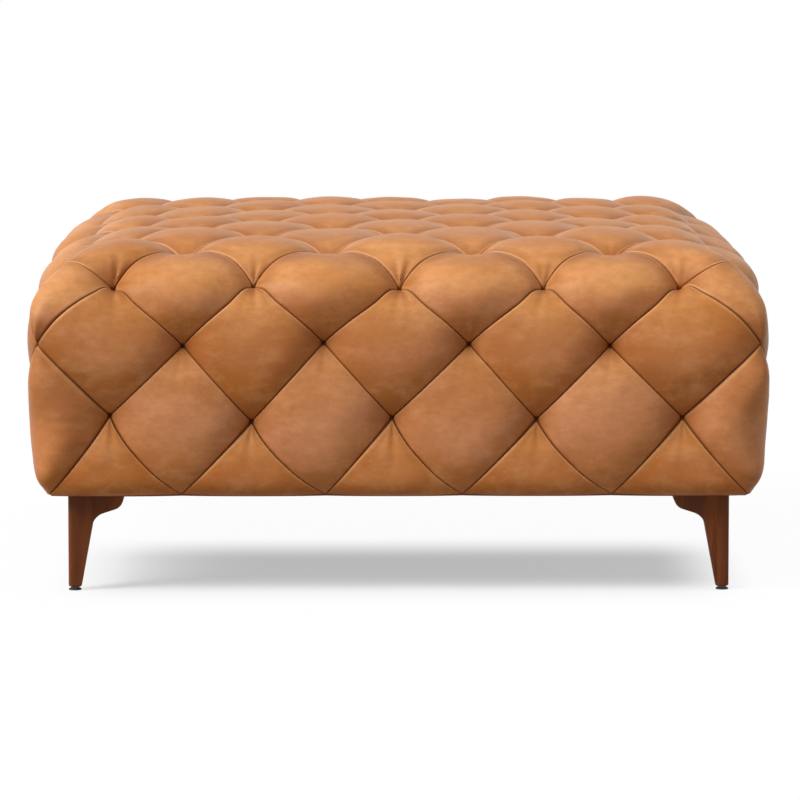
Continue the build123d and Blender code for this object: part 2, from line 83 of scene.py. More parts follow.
# %% Lattice
PITCH = 0.09125
LAST = 4
TOP = 0.463
CROWN_DROP = 0.008
TUFT_DEPTH = 0.032
OUTER_TUFT_DEPTH = 0.037
EDGE_ROW = 0.432
EDGE_ROW_HEIGHT = 0.391
SIDE_ROWS = {
    "row_b": (0.447, 0.466, 0.321, 0.0035),
    "row_c": (0.447, 0.447, 0.226, 0.0),
    "row_d": (0.451, 0.4525, 0.129, -0.0015),
}
TURN = [np.array([[c, -s, 0], [s, c, 0], [0, 0, 1]]) for c, s in ((1, 0), (0, 1), (-1, 0), (0, -1))]
even_steps = [-4, -2, 0, 2, 4]
odd_steps = [-3, -1, 1, 3]


def crown(i, j):
    return TOP - CROWN_DROP * max(i * i, j * j) / LAST**2


def top_tuft(i, j):
    if max(abs(i), abs(j)) <= LAST:
        depth = OUTER_TUFT_DEPTH if max(abs(i), abs(j)) == LAST else TUFT_DEPTH
        return ("top", np.array([i * PITCH, j * PITCH, crown(i, j) - depth]))
    x = i * PITCH if abs(i) <= LAST else math.copysign(EDGE_ROW, i)
    y = j * PITCH if abs(j) <= LAST else math.copysign(EDGE_ROW, j)
    return ("row_a", np.array([x, y, EDGE_ROW_HEIGHT]))


def side_tuft(row, i):
    y, corner, z, corner_lift = SIDE_ROWS[row]
    if abs(i) > LAST:
        z += corner_lift
        return (row + "_corner", np.array([math.copysign(corner, i), -corner, z]))
    return (row, np.array([i * PITCH, -y, z]))


# %% [markdown]
# ## Tied by hand
# The twines are tied one by one, so no tuft lies quite on the lattice. Those of the front are moved as
# the photograph shows them, in millimetres sideways and up, from left to right. All the others are
# moved a little at random, along the leather.

# %% Hand-tied places
FRONT_MOVES = {
    "top": ([-5, -1, 5, 2], [0, 0, 0, 0]),
    "row_a": ([-3, -5, 1, 4, -3], [1, 5, 2, 2, 2]),
    "row_b": ([-5, -6, -1, -2], [0, 4, 2, 0]),
    "row_c": ([-8, -8, -9, -5, 1], [5, -3, 2, 0, 2]),
    "row_d": ([-7, -3, -9, 2], [0, 0, 0, 0]),
}
FRONT_LINE = {"top": -LAST, "row_a": -LAST - 1}
HAND_ERROR = 0.0022
random = np.random.default_rng(11)
moved_tufts = {}


def key_of(place):
    return tuple(np.round(place, 4) + 0.0)


for row, (sideways, upwards) in FRONT_MOVES.items():
    steps_across = odd_steps if len(sideways) == 4 else even_steps
    for i, aside, rise in zip(steps_across, sideways, upwards):
        ideal = (top_tuft(i, FRONT_LINE[row]) if row in FRONT_LINE else side_tuft(row, i))[1]
        moved_tufts[key_of(ideal)] = ideal + np.array([aside, 0, rise]) / 1000


def tied(tuft):
    """The tuft where it was really tied. The same tuft comes out alike, whichever puff asks for it."""
    row, ideal = tuft
    key = key_of(ideal)
    if key not in moved_tufts:
        move = random.normal(0, HAND_ERROR, 3)
        if row == "top":
            move[2] *= 0.5
        elif row.endswith("corner"):
            move[:] = 0
        else:
            move[0 if abs(ideal[0]) > abs(ideal[1]) else 1] *= 0.5
            move[2] *= row != "row_d"
        moved_tufts[key] = ideal + move
    return (row, moved_tufts[key])


# %% [markdown]
# ## Where the pleats run
# A pleat dives at both tufts and lies nearest the surface halfway. How far its middle stands out of
# the straight line between the tufts depends on the rows that it joins. The two numbers are how far
# it comes out of the side, and how far up, both read from the photograph. The one pleat that runs over
# each top corner bulges to a fixed place. At the front the pleats down to the hem were also pulled a
# little to the left.

# %% Pleat middles
PLEAT_RISE = {
    ("top", "top"): (0.0, 0.025),
    ("row_a", "top"): (0.0, 0.030),
    ("row_a", "row_b"): (0.0275, 0.007),
    ("row_a", "row_b_corner"): (0.022, 0.0195),
    ("row_b", "row_c"): (0.021, 0.001),
    ("row_b_corner", "row_c"): (0.014, 0.001),
    ("row_c", "row_d"): (0.017, -0.007),
    ("row_c", "row_d_corner"): (0.016, -0.004),
    ("row_d", "row_d"): (0.006, -0.002),
    ("row_d", "row_d_corner"): (0.006, -0.001),
}
CORNER_PLEAT, CORNER_PLEAT_HEIGHT = 0.423, 0.4275
FRONT_HEM_PULL = 0.006


def pleat_middle(start, end):
    middle = (start[1] + end[1]) / 2
    if start[0] == end[0] == "row_a":
        aside = [math.copysign(CORNER_PLEAT, part) for part in middle[:2]]
        return np.array([*aside, CORNER_PLEAT_HEIGHT])
    out, up = PLEAT_RISE[tuple(sorted((start[0], end[0])))]
    facing = 0 if abs(middle[0]) > abs(middle[1]) else 1
    moved = middle.copy()
    moved[facing] += math.copysign(out, middle[facing])
    moved[2] += up
    if {start[0], end[0]} == {"row_c", "row_d"} and facing == 1 and middle[1] < 0:
        moved[0] -= FRONT_HEM_PULL
    return moved


# %% [markdown]
# ## The list of puffs
# A puff is the leather between four tufts. Two of them wrap each upright corner, and two rim points may
# be the same tuft where only three meet. The crest is the puff's highest place, and the fullness says
# how boxy the puff is: those at the corners are stuffed hard. The tone says how pale the hide is there,
# from 0 to 1. It is set row by row and varies a little at random, so it is partly the hide's own tone and
# partly painted light and shade: the hem row is painted darkest and the upper corner puffs palest.

# %% Puffs
puffs = []
for i in range(-LAST, LAST + 1):
    for j in range(-LAST, LAST + 1):
        if (i + j) % 2 == 0:
            rim = [top_tuft(i, j - 1), top_tuft(i + 1, j), top_tuft(i, j + 1), top_tuft(i - 1, j)]
            height = crown(i, j) - 0.0035 * [abs(i), abs(j)].count(LAST)
            stretch = 1.03 if abs(i) == abs(j) == LAST else 1
            crest = np.array([i * PITCH * stretch, j * PITCH * stretch, height])
            puffs.append((rim, crest, 2.4, 0.55))

front_puffs = []
for i in odd_steps:
    rim = [top_tuft(i, -LAST), top_tuft(i + 1, -5), side_tuft("row_b", i), top_tuft(i - 1, -5)]
    front_puffs.append((rim, (i * PITCH, -0.4625, 0.409), 2.4, 0.6))
    rim = [side_tuft("row_b", i), side_tuft("row_c", i + 1)]
    rim += [side_tuft("row_d", i), side_tuft("row_c", i - 1)]
    front_puffs.append((rim, (i * PITCH, -0.477, 0.215), 2.4, 0.8))
for i in even_steps:
    rim = [top_tuft(i, -5), side_tuft("row_b", i + 1), side_tuft("row_c", i), side_tuft("row_b", i - 1)]
    front_puffs.append((rim, (i * PITCH, -0.479, 0.318), 2.4, 0.35))
    rim = [side_tuft("row_c", i), side_tuft("row_c", i)]
    rim += [side_tuft("row_d", i + 1), side_tuft("row_d", i - 1)]
    front_puffs.append((rim, (i * PITCH, -0.469, 0.165), 3.0, 0.0))


def turn(tuft, quarter):
    return (tuft[0], TURN[quarter] @ tuft[1])


around_corner = turn(side_tuft("row_c", -LAST), 1)
corner_b, corner_d = side_tuft("row_b", 5), side_tuft("row_d", 5)
rim = [corner_b, corner_b, top_tuft(5, -LAST), top_tuft(LAST, -5)]
front_puffs.append((rim, (0.4575, -0.4575, 0.388), 2.4, 1.0))
rim = [corner_b, around_corner, corner_d, side_tuft("row_c", LAST)]
front_puffs.append((rim, (0.4615, -0.4615, 0.214), 5.0, 0.5))
for quarter in range(4):
    for rim, crest, *rest in front_puffs:
        puffs.append(([turn(tuft, quarter) for tuft in rim], TURN[quarter] @ np.array(crest), *rest))
for number, (rim, crest, fullness, tone) in enumerate(puffs):
    real_rim = [tied(tuft) for tuft in rim]
    carried = sum(real[1] - ideal[1] for real, ideal in zip(real_rim, rim)) / 4
    crest = crest + carried + random.normal(0, 0.0012, 3)
    puffs[number] = (real_rim, crest, fullness, tone + random.normal(0, 0.12))
print(len(puffs), "puffs")

# %% [markdown]
# ## One puff at a time
# Each puff starts as a flat grid and is pushed into place. Its four edges follow the pleats. Away from
# a tuft the leather rises like the mouth of a funnel, in every direction alike, and then it levels off
# towards the crest. The grid lines lie closer together near the pleats, where the leather turns most.
# How far each point is from the nearest pleat is kept for the folds and for the colour.

# %% Shape the puffs
CELLS = 36
PLEAT_LENGTH = 0.129
steps = np.arange(CELLS + 1) / CELLS
knots = np.where(steps < 0.5, 0.5 * (2 * steps) ** 1.5, 1 - 0.5 * (2 - 2 * steps) ** 1.5)
across, along = np.meshgrid(knots, knots, indexing="ij")


def pleat_rise(start, end):
    if np.allclose(start[1], end[1]):
        return np.zeros(3)
    return pleat_middle(start, end) - (start[1] + end[1]) / 2


def blow_up(rim, crest, fullness):
    """The places of a puff's grid points, and how far each one is from a pleat and from the crest."""
    a, b, c, d = rim
    pole = np.allclose(a[1], b[1])
    u, v = across[..., None], along[..., None]
    level = (1 - u) * (1 - v) * a[1] + u * (1 - v) * b[1] + (1 - u) * v * d[1] + u * v * c[1]
    over, up = 1 - np.abs(2 * u - 1) ** 2.4, 1 - np.abs(2 * v - 1) ** 2.4
    lengthwise = (1 - v) * pleat_rise(a, b) + v * pleat_rise(d, c)
    crosswise = (1 - u) * pleat_rise(a, d) + u * pleat_rise(b, c)
    skin = level + over * (1 - up / 2) * lengthwise + up * (1 - over / 2) * crosswise
    dome = (1 - np.abs(2 * u - 1) ** fullness) * (1 - np.abs(2 * v - 1) ** fullness)
    skin = skin + (crest - skin[CELLS // 2, CELLS // 2]) * dome
    aside = np.minimum(across, 1 - across) * (along if pole else 1)
    ends = 1 - along if pole else np.minimum(along, 1 - along)
    return skin, np.minimum(aside, ends) * PLEAT_LENGTH, dome[..., 0]


# %% Join them into one skin
bpy.ops.object.select_all(action="DESELECT")
bpy.ops.mesh.primitive_grid_add(x_subdivisions=CELLS, y_subdivisions=CELLS, size=1)
first = bpy.context.object
flat = np.empty(3 * (CELLS + 1) ** 2)
first.data.vertices.foreach_get("co", flat)
flat = flat.reshape(-1, 3)
rank = np.rint((flat[:, :2] + 0.5) * CELLS).astype(int)
pieces = []
for rim, crest, fullness, tone in puffs:
    piece = first.copy()
    piece.data = first.data.copy()
    skin, apart, height = blow_up(rim, crest, fullness)
    piece.data.vertices.foreach_set("co", skin[rank[:, 0], rank[:, 1]].ravel())
    for name, values in (("pleat_distance", apart), ("crest", height), ("tone", tone + 0 * height)):
        layer = piece.data.attributes.new(name, "FLOAT", "POINT")
        layer.data.foreach_set("value", values[rank[:, 0], rank[:, 1]])
    bpy.context.collection.objects.link(piece)
    pieces.append(piece)
bpy.data.objects.remove(first)
for piece in pieces:
    piece.select_set(True)
bpy.context.view_layer.objects.active = pieces[0]
bpy.ops.object.join()
cover = bpy.context.object
cover.name = "quilted_leather_cover"
bpy.ops.object.mode_set(mode="EDIT")
bpy.ops.mesh.select_all(action="SELECT")
bpy.ops.mesh.remove_doubles(threshold=0.00001)
bpy.ops.mesh.normals_make_consistent(inside=False)
bpy.ops.object.mode_set(mode="OBJECT")
print("skin:", len(cover.data.vertices), "points")

# %% [markdown]
# ## Folds, pits and gathers
# A pleat is a narrow fold that goes in. At each tuft the twine pulls a small pit, and the spare leather
# around it gathers into short folds that fade away from the pit, mostly above and below it. Real hide is
# never even either, so slow noise moves it a little. These moves come last, as one would sculpt them.
# Folds and pits go in along the skin's own normals, gathers go straight out of their tuft, and the
# shoulders beside the tufts of row A go up.

# %% Measure from the tufts
def points_of(mesh):
    places = np.empty(3 * len(mesh.vertices))
    mesh.vertices.foreach_get("co", places)
    return places.reshape(-1, 3)


def normals_of(mesh):
    facing = np.empty(3 * len(mesh.vertices))
    mesh.vertex_normals.foreach_get("vector", facing)
    return facing.reshape(-1, 3)


def values_of(mesh, name):
    values = np.empty(len(mesh.vertices))
    mesh.attributes[name].data.foreach_get("value", values)
    return values


tufts = {}
for rim, *rest in puffs:
    for row, place in rim:
        if "row_d" not in row:
            tufts[tuple(np.round(place, 4))] = (row, place)
tuft_rows = [row for row, place in tufts.values()]
tuft_places = np.array([place for row, place in tufts.values()])


def tuft_frame(row, place):
    """The directions out of a tuft, upwards along the leather, and sideways."""
    if row == "top":
        return np.array([0, 0, 1.0]), np.array([0, 1.0, 0]), np.array([1.0, 0, 0])
    side = 0 if abs(place[0]) > abs(place[1]) else 1
    out = np.zeros(3)
    out[side] = math.copysign(1, place[side])
    if row.endswith("corner"):
        out = np.array([math.copysign(1, place[0]), math.copysign(1, place[1]), 0])
    if row == "row_a":
        out[2] = 1
    out = out / np.linalg.norm(out)
    sideways = np.cross([0, 0, 1.0], out)
    sideways = sideways / np.linalg.norm(sideways)
    return out, np.cross(out, sideways), sideways


def nearest_tuft(places):
    tree = KDTree(len(tuft_places))
    for number, place in enumerate(tuft_places):
        tree.insert(place, number)
    tree.balance()
    found = [tree.find(place)[1:] for place in places]
    return np.array([number for number, far in found]), np.array([far for number, far in found])


print(len(tufts), "tufts")

# %% Press in the pleats and pits
places, facing = points_of(cover.data), normals_of(cover.data)
apart = values_of(cover.data, "pleat_distance")
nearest, reach = nearest_tuft(places)
FOLD_DEPTH, FOLD_WIDTH = 0.0023, 0.0006
PIT_DEPTH, PIT_WIDTH = 0.0025, 0.003
fold = FOLD_DEPTH * np.exp(-((apart / FOLD_WIDTH) ** 1.5))
pit = PIT_DEPTH * np.exp(-((reach / PIT_WIDTH) ** 2))
move = -fold - pit

# %% Gather the leather round the tufts
GATHERS = {"top": (0.5, 0.5), "row_a": (1.7, 1.0), "row_b": (0.9, 0.5), "row_b_corner": (0.8, 0.4),
           "row_c": (0.25, 0.4)}
GATHER_HEIGHT = 0.0011
TUFT_REACH = 0.07
shift = np.zeros((len(places), 3))
phases = random.uniform(0, 2 * math.pi, (len(tuft_rows), 3))
strengths = random.uniform(0.6, 1.25, (len(tuft_rows), 2))
for number, (row, place) in enumerate(tufts.values()):
    near = np.flatnonzero((nearest == number) & (reach < TUFT_REACH))
    out, upwards, sideways = tuft_frame(row, place)
    offset = places[near] - place
    angle = np.arctan2(offset @ sideways, offset @ upwards)
    above, below = np.array(GATHERS[row]) * strengths[number]
    window = np.cos(2 * angle) ** 2
    behind = np.where(np.abs(angle) > 3 * math.pi / 4, below, 0.15)
    ahead = np.where(np.abs(angle) < math.pi / 4, above, behind)
    wave = np.cos(13 * angle + phases[number, 0]) + 0.6 * np.cos(8 * angle + phases[number, 1])
    length = 0.030 if row == "row_c" else 0.018
    fade = (reach[near] / length) ** 2 * np.exp(2 - 2 * reach[near] / length)
    shift[near] += np.outer(GATHER_HEIGHT * ahead * window * wave * fade, out)

# %% Lift the shoulders beside each tuft of row A
SHOULDER_HEIGHT, SHOULDER_REACH = 0.0058, 0.023
SHOULDER_ANGLE = 2.27
for number, (row, place) in enumerate(tufts.values()):
    if row == "row_a":
        near = np.flatnonzero((nearest == number) & (reach < TUFT_REACH))
        out, upwards, sideways = tuft_frame(row, place)
        offset = places[near] - place
        angle = np.abs(np.arctan2(offset @ sideways, offset @ upwards))
        beside = np.cos(np.clip((angle - SHOULDER_ANGLE) * 1.4, -math.pi / 2, math.pi / 2)) ** 2
        inner = np.min(np.abs(places[near, :2]), axis=1)
        beside = beside * np.clip((0.400 - inner) / 0.030, 0.15, 1)
        far = (reach[near] / SHOULDER_REACH) ** 2
        shift[near, 2] += SHOULDER_HEIGHT * beside * far * np.exp(1 - far)

# %% Slow unevenness, and one crease that the photograph shows
slow = np.array([noise.noise(Vector(place) * 14) + 0.5 * noise.noise(Vector(place) * 34)
                 for place in places])
move += 0.0014 * slow * np.clip(apart / 0.02, 0, 1)
at_corner = (places[:, 1] < -0.40) * np.exp(-(((places[:, 0] + 0.428) / 0.028) ** 4))
move += at_corner * (0.0009 * np.exp(-(((places[:, 2] - 0.2185) / 0.003) ** 2))
                     - 0.0012 * np.exp(-(((places[:, 2] - 0.2240) / 0.0028) ** 2)))
places = places + facing * move[:, None] + shift
cover.data.vertices.foreach_set("co", places.ravel())
cover.data.update()
print("moved in by up to", round(1000 * -move.min(), 1), "mm")

# %% [markdown]
# ## The hem and the inside
# The leather is turned under at the hem, and a hollow behind it holds the foam and the frame. The
# open edge is extruded loop by loop: in under the hem, up to the rails, up the wall, round the top
# edge, and the last loop is filled. Each loop has its half width and height, and the first one takes
# its width from the hem itself, drawn in a little.

# %% Close the cover
LOOPS = [(None, 0.1262, 0.0025), (0.431, 0.127, 0), (0.431, 0.129, 0)]
LOOPS += [(0.440, 0.129, 0), (0.440, 0.337, 0)]
LOOPS += [(0.365 + 0.075 * math.cos(angle), 0.337 + 0.075 * math.sin(angle), 0)
          for angle in np.radians([22.5, 45, 67.5, 90])]
bpy.ops.object.mode_set(mode="EDIT")
bpy.ops.mesh.select_all(action="DESELECT")
bpy.ops.mesh.select_mode(type="EDGE")
bpy.ops.mesh.select_non_manifold(extend=False, use_wire=False, use_boundary=True,
                                 use_multi_face=False, use_non_contiguous=False, use_verts=False)
for half, height, inset in LOOPS:
    bpy.ops.mesh.extrude_edges_move()
    bpy.ops.object.mode_set(mode="OBJECT")
    for point in cover.data.vertices:
        if point.select:
            widest = max(abs(point.co.x), abs(point.co.y))
            share = (widest - inset if half is None else half) / widest
            point.co = (point.co.x * share, point.co.y * share, height)
    bpy.ops.object.mode_set(mode="EDIT")
bpy.ops.mesh.edge_face_add()
bpy.ops.mesh.select_all(action="SELECT")
bpy.ops.mesh.normals_make_consistent(inside=False)
bpy.ops.object.mode_set(mode="OBJECT")
bpy.ops.object.shade_smooth_by_angle(angle=math.radians(50))
print("cover:", len(cover.data.polygons), "faces")

# %% Keep what the leather's colour needs
places, facing = points_of(cover.data), normals_of(cover.data)
reach = nearest_tuft(places)[1]
# skyward says how far each point faces up; the leather paints light and shade from it
skyward = np.clip(0.5 + 0.5 * facing[:, 2], 0, 1)
for name, values in (("tuft_distance", reach), ("skyward", skyward)):
    layer = cover.data.attributes.new(name, "FLOAT", "POINT")
    layer.data.foreach_set("value", values)
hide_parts("leather_cover")
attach(cover, "ottoman")

# %% [markdown]
# ## Materials
# Each finish is a small network of nodes on Object coordinates, so a pattern stays the same size on
# every piece. Two helpers keep the networks short: one adds a node and fills its sockets, and one
# mixes two colours.

# %% Material helpers
def new_material(name):
    material = bpy.data.materials.new(name)
    material.use_nodes = True
    return material, material.node_tree, material.node_tree.nodes["Principled BSDF"]


def add_node(tree, kind, settings=(), **sockets):
    made = tree.nodes.new(kind)
    for name, value in dict(settings).items():
        setattr(made, name, value)
    for name, value in sockets.items():
        fill(tree, made.inputs[name.replace("_", " ")], value)
    return made


def fill(tree, socket, value):
    if isinstance(value, bpy.types.NodeSocket):
        tree.links.new(value, socket)
    else:
        socket.default_value = value


def mix(tree, share, under, over):
    made = tree.nodes.new("ShaderNodeMix")
    made.data_type = "RGBA"
    for place, value in ((0, share), (6, under), (7, over)):
        fill(tree, made.inputs[place], value if not isinstance(value, tuple) else (*value, 1))
    return made.outputs[2]


def scaled(tree, value, low, high, new_low=0.0, new_high=1.0):
    made = add_node(tree, "ShaderNodeMapRange", From_Min=low, From_Max=high, To_Min=new_low,
                    To_Max=new_high)
    fill(tree, made.inputs["Value"], value)
    return made.outputs["Result"]


def soft_noise(tree, coordinates, scale, detail, roughness):
    made = add_node(tree, "ShaderNodeTexNoise", Vector=coordinates, Scale=scale, Detail=detail,
                    Roughness=roughness)
    return made.outputs["Fac"]


# %% [markdown]
# ### Waxed tan leather
# The hide is cloudy with a worn patina and pale on the crests. Its row tones are partly painted light and
# shade. Painted light makes it golden where it faces up and rosier on the sides, and painted shade makes
# the flattest top darker and darkens it where it faces down, around every tuft, in the valleys of the
# top, more in the folds, and nearly to black in the tuft holes. A painted highlight makes the upper lip
# of a fold pale. A pebble of about a millimetre and faint creases give the surface its bump, and the wax
# gives it a soft, uneven gloss with a pale sheen at flat angles.

# %% Leather
leather, tree, shader = new_material("waxed_tan_leather")
coordinates = add_node(tree, "ShaderNodeTexCoord").outputs["Object"]
up, from_pleat, from_tuft, crested, tone = [
    add_node(tree, "ShaderNodeAttribute", {"attribute_name": name}).outputs["Fac"]
    for name in ("skyward", "pleat_distance", "tuft_distance", "crest", "tone")
]
streaked = add_node(tree, "ShaderNodeMapping", Vector=coordinates, Scale=(1, 1, 1.7)).outputs["Vector"]
clouds = soft_noise(tree, streaked, 7.0, 4.0, 0.6)
blotches = soft_noise(tree, streaked, 17.0, 5.0, 0.7)
mottle = soft_noise(tree, streaked, 75.0, 4.0, 0.65)
# the tone: the hide's own paleness by row and at random, partly painted light and shade
colour = mix(tree, tone, (0.43, 0.130, 0.026), (0.62, 0.260, 0.122))
# painted light: golden where the leather faces up
colour = mix(tree, scaled(tree, up, 0.52, 0.76, 0, 0.7), colour, (0.74, 0.333, 0.104))
# painted shade: the flattest top darker and duller
colour = mix(tree, scaled(tree, up, 0.935, 0.99, 0, 0.8), colour, (0.45, 0.170, 0.042))
# painted shade: darker where the leather faces down
colour = mix(tree, scaled(tree, up, 0.5, 0.34, 0, 0.75), colour, (0.33, 0.097, 0.010))
colour = mix(tree, scaled(tree, clouds, 0.44, 0.62, 0, 0.5), colour, (0.46, 0.145, 0.020))
colour = mix(tree, scaled(tree, blotches, 0.46, 0.68, 0, 0.38), colour, (0.74, 0.345, 0.145))
colour = mix(tree, scaled(tree, mottle, 0.40, 0.66, 0, 0.28), colour, (0.38, 0.115, 0.022))
colour = mix(tree, scaled(tree, crested, 0.55, 1.0, 0, 0.15), colour, (0.74, 0.33, 0.130))
# painted shade: darker around every tuft
colour = mix(tree, scaled(tree, from_tuft, 0.004, 0.042, 0.6, 0), colour, (0.31, 0.088, 0.009))
# painted shade: darker near the pleats in the valleys of the top
top_valley_shade = add_node(tree, "ShaderNodeMath", {"operation": "MULTIPLY"})
fill(tree, top_valley_shade.inputs[0], scaled(tree, from_pleat, 0.002, 0.018, 0.62, 0))
fill(tree, top_valley_shade.inputs[1], scaled(tree, up, 0.80, 0.95))
colour = mix(tree, top_valley_shade.outputs["Value"], colour, (0.27, 0.083, 0.020))
# painted highlight: a pale upper lip beside each fold
fold_lip_highlight = add_node(tree, "ShaderNodeMath", {"operation": "MULTIPLY"})
fill(tree, fold_lip_highlight.inputs[0], scaled(tree, from_pleat, 0.0014, 0.0032, 0.38, 0))
fill(tree, fold_lip_highlight.inputs[1], scaled(tree, up, 0.45, 0.75))
colour = mix(tree, fold_lip_highlight.outputs["Value"], colour, (0.86, 0.45, 0.19))
# painted shade: darkest inside the folds
colour = mix(tree, scaled(tree, from_pleat, 0.0002, 0.0010, 0.75, 0), colour, (0.15, 0.038, 0.009))
# painted shade: nearly black in the tuft holes
colour = mix(tree, scaled(tree, from_tuft, 0.001, 0.0045, 0.9, 0), colour, (0.05, 0.014, 0.004))
fill(tree, shader.inputs["Base Color"], colour)
fill(tree, shader.inputs["Roughness"], scaled(tree, blotches, 0.3, 0.7, 0.38, 0.54))
pebble = add_node(tree, "ShaderNodeTexVoronoi", {"feature": "SMOOTH_F1"}, Vector=coordinates, Scale=750.0,
                  Smoothness=0.6).outputs["Distance"]
creases = soft_noise(tree, coordinates, 85.0, 6.0, 0.6)
grain = add_node(tree, "ShaderNodeBump", Strength=0.35, Distance=0.00025, Height=pebble)
skin_bump = add_node(tree, "ShaderNodeBump", Strength=0.35, Distance=0.0012, Height=creases,
                     Normal=grain.outputs["Normal"])
fill(tree, shader.inputs["Normal"], skin_bump.outputs["Normal"])
shader.inputs["Specular IOR Level"].default_value = 0.17
shader.inputs["Sheen Weight"].default_value = 0.12
shader.inputs["Sheen Roughness"].default_value = 0.35
shader.inputs["Sheen Tint"].default_value = (1.0, 0.84, 0.76, 1)
cover.data.materials.clear()
cover.data.materials.append(leather)

# %% [markdown]
# ### Walnut, and the plain timbers inside
# Wood is noise stretched along the grain. The legs' grain stands upright, the rails' lies along each
# rail, so the stretch is given for each piece. The walnut is stained dark red-brown and lacquered.

# %% Woods
def wood(name, pale, dark, stretch, gloss, fibre=1.0):
    material, tree, shader = new_material(name)
    coordinates = add_node(tree, "ShaderNodeTexCoord").outputs["Object"]
    drawn = add_node(tree, "ShaderNodeMapping", Vector=coordinates, Scale=stretch).outputs["Vector"]
    bands = soft_noise(tree, drawn, 30.0 * fibre, 4.0, 0.6)
    pores = soft_noise(tree, drawn, 190.0 * fibre, 3.0, 0.7)
    colour = mix(tree, scaled(tree, bands, 0.32, 0.68), dark, pale)
    pore_dark = tuple(0.45 * part for part in dark)
    colour = mix(tree, scaled(tree, pores, 0.52, 0.72, 0, 0.7), colour, pore_dark)
    fill(tree, shader.inputs["Base Color"], colour)
    fill(tree, shader.inputs["Roughness"], scaled(tree, pores, 0.3, 0.7, gloss, gloss + 0.14))
    bump = add_node(tree, "ShaderNodeBump", Strength=0.3, Distance=0.0003, Height=pores)
    fill(tree, shader.inputs["Normal"], bump.outputs["Normal"])
    shader.inputs["Specular IOR Level"].default_value = 0.2
    return material


PALE_TIMBER, DARK_TIMBER = (0.62, 0.42, 0.22), (0.50, 0.30, 0.14)
walnut = wood("stained_walnut", (0.225, 0.057, 0.010), (0.088, 0.021, 0.005), (1, 1, 0.07), 0.48)
timber_x = wood("planed_timber_lengthwise", PALE_TIMBER, DARK_TIMBER, (0.06, 1, 1), 0.6)
timber_y = wood("planed_timber_crosswise", PALE_TIMBER, DARK_TIMBER, (1, 0.06, 1), 0.6)
timber_z = wood("planed_timber_upright", PALE_TIMBER, DARK_TIMBER, (1, 1, 0.06), 0.6)
plywood = wood("birch_plywood", (0.66, 0.49, 0.29), (0.55, 0.37, 0.19), (0.12, 1, 8), 0.62, 0.6)

# %% [markdown]
# ### Metal, plastic, foam and cloth
# The fixings are zinc plated, the floor pads are moulded nylon, the foam is open and grainy, and the
# twine and the dust cloth show their threads.

# %% Other finishes
def speckled(name, pale, dark, scale, rough, metal=0.0, bump=0.0003):
    material, tree, shader = new_material(name)
    coordinates = add_node(tree, "ShaderNodeTexCoord").outputs["Object"]
    spots = soft_noise(tree, coordinates, scale, 4.0, 0.65)
    fill(tree, shader.inputs["Base Color"], mix(tree, scaled(tree, spots, 0.35, 0.65), dark, pale))
    fill(tree, shader.inputs["Roughness"], scaled(tree, spots, 0.3, 0.7, rough, rough + 0.12))
    raised = add_node(tree, "ShaderNodeBump", Strength=0.4, Distance=bump, Height=spots)
    fill(tree, shader.inputs["Normal"], raised.outputs["Normal"])
    shader.inputs["Metallic"].default_value = metal
    return material


zinc = speckled("zinc_plate", (0.62, 0.62, 0.60), (0.45, 0.45, 0.44), 420.0, 0.32, 1.0, 0.00005)
blackened = speckled("blackened_steel", (0.10, 0.085, 0.075), (0.045, 0.038, 0.034), 500.0, 0.4, 0.6,
                     0.00005)
nylon = speckled("moulded_nylon", (0.030, 0.028, 0.027), (0.016, 0.015, 0.015), 900.0, 0.5)
foam_finish = speckled("upholstery_foam", (0.86, 0.78, 0.56), (0.68, 0.58, 0.38), 520.0, 0.85, 0.0,
                       0.0012)


def woven(name, pale, dark, threads, rough):
    material, tree, shader = new_material(name)
    coordinates = add_node(tree, "ShaderNodeTexCoord").outputs["Object"]
    rows = [add_node(tree, "ShaderNodeTexWave", {"bands_direction": side}, Vector=coordinates,
                     Scale=threads, Distortion=0.6, Detail=1.0).outputs["Fac"] for side in ("X", "Y")]
    weave = add_node(tree, "ShaderNodeMath", {"operation": "MULTIPLY"})
    for place, row in enumerate(rows):
        fill(tree, weave.inputs[place], row)
    fill(tree, shader.inputs["Base Color"], mix(tree, weave.outputs["Value"], dark, pale))
    raised = add_node(tree, "ShaderNodeBump", Strength=0.5, Distance=0.0004,
                      Height=weave.outputs["Value"])
    fill(tree, shader.inputs["Normal"], raised.outputs["Normal"])
    shader.inputs["Roughness"].default_value = rough
    return material


dust_cloth = woven("black_dust_cloth", (0.035, 0.034, 0.036), (0.010, 0.010, 0.011), 140.0, 0.9)
twine = woven("waxed_twine", (0.70, 0.60, 0.42), (0.42, 0.34, 0.22), 300.0, 0.6)

# %% Put them on the CAD pieces
FINISHES = {"leg": walnut, "post": timber_z, "leveller_stem": blackened, "leveller_pad": nylon,
            "panel": plywood, "deck_board": plywood, "screws": zinc, "bolts": zinc, "inserts": zinc,
            "washers": zinc, "tacks": zinc, "twines": twine, "dowels": timber_z, "joist": timber_x}
for name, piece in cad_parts.items():
    for ending, finish in FINISHES.items():
        if name.endswith(ending):
            piece.data.materials.clear()
            piece.data.materials.append(finish)
    if name.endswith("rail"):
        piece.data.materials.clear()
        piece.data.materials.append(timber_x if name.startswith(("front", "rear")) else timber_y)
print("finishes on", sum(bool(piece.data.materials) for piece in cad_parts.values()), "nodes")

# %% [markdown]
# ## The foam
# The top pad lies over the whole frame and rolls over its edges, and a slab stands behind each side.
# Both start as a cube at the right size. The pad's top edges are bevelled to a wide roll, and round
# cutters drill the holes that the twines run through. The holes for the edge twines lean outwards.

# %% Foam helpers
HOLE_RADIUS = 0.008


def slab(name, low, high):
    bpy.ops.object.select_all(action="DESELECT")
    middle = [(a + b) / 2 for a, b in zip(low, high)]
    bpy.ops.mesh.primitive_cube_add(size=1, location=middle)
    made = bpy.context.object
    made.name = name
    made.scale = [b - a for a, b in zip(low, high)]
    bpy.ops.object.transform_apply(location=True, rotation=True, scale=True)
    return made


